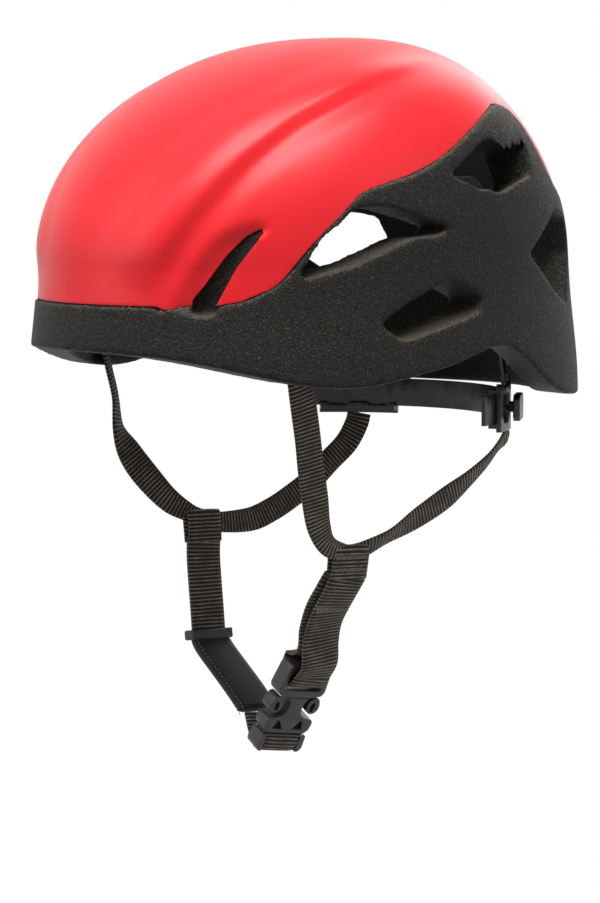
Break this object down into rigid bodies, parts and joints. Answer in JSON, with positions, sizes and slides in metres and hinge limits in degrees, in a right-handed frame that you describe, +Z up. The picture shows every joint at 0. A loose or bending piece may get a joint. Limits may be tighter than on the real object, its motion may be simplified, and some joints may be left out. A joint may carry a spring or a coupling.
{
  "type": "climbing helmet",
  "caption": "Vented foam climbing helmet with a thin crown shell, a sliding nape cradle on a toothed belt, and a webbing chin harness closed by a side-release buckle.",
  "frame": {"origin": "Centre of the head opening, level with the lower edge of the brow, where the helmet sits on the head.", "axes": "+Z up through the crown, the brow faces -Y, +X is the wearer's left, where the buckle's plug strap is."},
  "size_m": [0.2274, 0.285, 0.3375],
  "materials": {
    "shell": "satin",
    "foam": "matte beaded foam",
    "core": "matte beaded foam",
    "pad": "brushed knit",
    "hook": "hook tape",
    "webbing": "ribbed webbing",
    "sleeve": "smooth knit",
    "frame": "satin",
    "buckle": "satin",
    "elastic": "matte",
    "pin": "satin"
  },
  "bodies": {
    "helmet": {"outer_shell": "shell", "foam_liner": "foam", "crown_core": "core", "brow_pad": "pad", "crown_pad": "pad", "side_pad_left": "pad", "side_pad_right": "pad", "pad_discs": "hook", "chin_sleeve": "sleeve", "socket_tab": "webbing", "buckle_socket": "buckle", "buckle_plug": "buckle", "strap_anchor_left": "frame", "front_strap_left": "webbing", "rear_strap_left": "webbing", "junction_loop_left": "webbing", "chin_strap_left": "webbing", "pivot_pin_left": "pin", "strap_anchor_right": "frame", "front_strap_right": "webbing", "rear_strap_right": "webbing", "junction_loop_right": "webbing", "chin_strap_right": "webbing", "pivot_pin_right": "pin"},
    "cradle": {"nape_belt": "frame", "hanger_left": "frame", "hanger_right": "frame"},
    "slider_left": {"guide_left": "frame"},
    "slider_right": {"guide_right": "frame"},
    "button_left": {"grip_left": "frame"},
    "button_right": {"grip_right": "frame"},
    "keeper": {"strap_keeper": "elastic"},
    "clip_front": {"prong_front": "buckle"},
    "clip_rear": {"prong_rear": "buckle"}
  },
  "joints": [
    {"name": "cradle_swing", "type": "hinge", "parent": "helmet", "child": "cradle", "pos_m": [0, 0.062, 0.012], "axis": [1, 0, 0], "range_deg": [-20, 6], "deforming": ["rear_strap_left", "rear_strap_right"]},
    {"name": "slider_left_travel", "type": "hinge", "parent": "cradle", "child": "slider_left", "pos_m": [0, 0.019, -0.031], "axis": [0, 0, 1], "range_deg": [-8, 12], "deforming": ["hanger_left", "rear_strap_left"]},
    {"name": "slider_right_travel", "type": "hinge", "parent": "cradle", "child": "slider_right", "pos_m": [0, 0.019, -0.031], "axis": [0, 0, 1], "range_deg": [-12, 8], "deforming": ["hanger_right", "rear_strap_right"]},
    {"name": "button_left_press", "type": "slide", "parent": "slider_left", "child": "button_left", "axis": [-0.712, -0.7022, 0], "range_m": [0, 0.0015], "stiffness_N_per_m": 300, "springref_m": -0.002},
    {"name": "button_right_press", "type": "slide", "parent": "slider_right", "child": "button_right", "axis": [0.712, -0.7022, 0], "range_m": [0, 0.0015], "stiffness_N_per_m": 300, "springref_m": -0.002},
    {"name": "keeper_slide", "type": "slide", "parent": "helmet", "child": "keeper", "axis": [-0.1531, 0.0247, 0.9879], "range_m": [0, 0.03]},
    {"name": "clip_front_squeeze", "type": "hinge", "parent": "helmet", "child": "clip_front", "pos_m": [0.02407, -0.0312, -0.16571], "axis": [0.7431, 0, -0.6691], "range_deg": [0, 8], "stiffness_Nm_per_rad": 0.05, "springref_deg": -2.86},
    {"name": "clip_rear_squeeze", "type": "hinge", "parent": "helmet", "child": "clip_rear", "pos_m": [0.02407, -0.0128, -0.16571], "axis": [0.7431, 0, -0.6691], "range_deg": [-8, 0], "stiffness_Nm_per_rad": 0.05, "springref_deg": 2.86}
  ],
  "couplings": [
    {"joint": "clip_rear_squeeze", "follows": "clip_front_squeeze", "ratio": -1}
  ]
}
